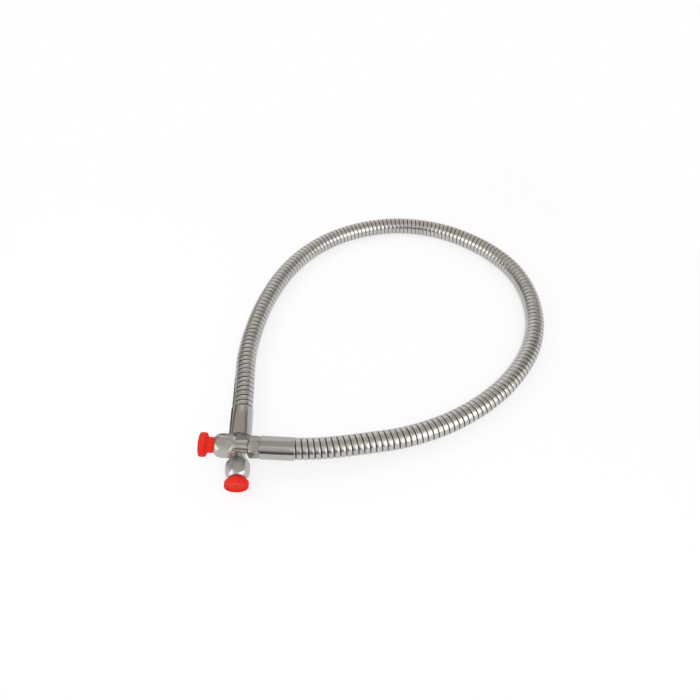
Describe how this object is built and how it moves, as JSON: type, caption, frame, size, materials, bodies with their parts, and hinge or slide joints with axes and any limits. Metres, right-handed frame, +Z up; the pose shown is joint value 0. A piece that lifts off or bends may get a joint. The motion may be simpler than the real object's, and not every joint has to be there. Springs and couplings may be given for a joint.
{
  "type": "armoured propane hose",
  "caption": "Flexible gas hose in strip-wound steel armour, with a swivel flare nut and a push-in dust plug on each end, for joining a propane bottle or regulator to its pipework.",
  "frame": {"origin": "on the surface the hose lies on, under the middle of the box round the two end fittings; the hose itself is left out of that box", "axes": "+Z up; end A's plug points along -X and 6 degrees up; end B's plug points along -Y, turned 3.8 degrees towards +X; the loop lies towards +X and +Y"},
  "size_m": [0.3549, 0.3844, 0.0436],
  "materials": {
    "armour_steel": "interlocked stainless strip, dull shine, dark joints",
    "polished_steel": "polished stainless sleeve",
    "satin_steel": "satin machined steel",
    "nut_steel": "satin nickel plating",
    "plain_steel": "plain steel, out of sight",
    "hose_rubber": "black nitrile gas hose",
    "red_plastic": "red moulded polyethylene"
  },
  "bodies": {
    "hose": {"hose_armour": "armour_steel", "inner_hose": "hose_rubber", "end_a_armour_ferrule": "polished_steel", "end_a_crimp_socket": "plain_steel", "end_a_hose_tail": "satin_steel", "end_a_flared_neck": "satin_steel", "end_b_armour_ferrule": "polished_steel", "end_b_crimp_socket": "plain_steel", "end_b_hose_tail": "satin_steel", "end_b_flared_neck": "satin_steel"},
    "end_a_sleeve": {"end_a_flare_sleeve": "plain_steel"},
    "end_a_nut": {"end_a_swivel_nut": "nut_steel"},
    "end_a_plug": {"end_a_dust_plug": "red_plastic"},
    "end_b_sleeve": {"end_b_flare_sleeve": "plain_steel"},
    "end_b_nut": {"end_b_swivel_nut": "nut_steel"},
    "end_b_plug": {"end_b_dust_plug": "red_plastic"}
  },
  "joints": [
    {"name": "end_a_nut_slide", "type": "slide", "parent": "hose", "child": "end_a_sleeve", "axis": [-0.9945, 0, 0.1045], "range_m": [-0.0005, 0.0015]},
    {"name": "end_a_nut_spin", "type": "hinge", "parent": "end_a_sleeve", "child": "end_a_nut", "pos_m": [-0.01331, -0.00912, 0.02996], "axis": [-0.9945, 0, 0.1045], "continuous": true},
    {"name": "end_a_plug_pull", "type": "slide", "parent": "end_a_nut", "child": "end_a_plug", "axis": [-0.9945, 0, 0.1045], "range_m": [-0.0047, 0.008]},
    {"name": "end_b_nut_slide", "type": "slide", "parent": "hose", "child": "end_b_sleeve", "axis": [0.0663, -0.9978, 0], "range_m": [-0.0017, 0.0003]},
    {"name": "end_b_nut_spin", "type": "hinge", "parent": "end_b_sleeve", "child": "end_b_nut", "pos_m": [-0.01035, -0.0163, 0.0112], "axis": [0.0663, -0.9978, 0], "continuous": true},
    {"name": "end_b_plug_pull", "type": "slide", "parent": "end_b_nut", "child": "end_b_plug", "axis": [0.0663, -0.9978, 0], "range_m": [0, 0.0125]}
  ]
}
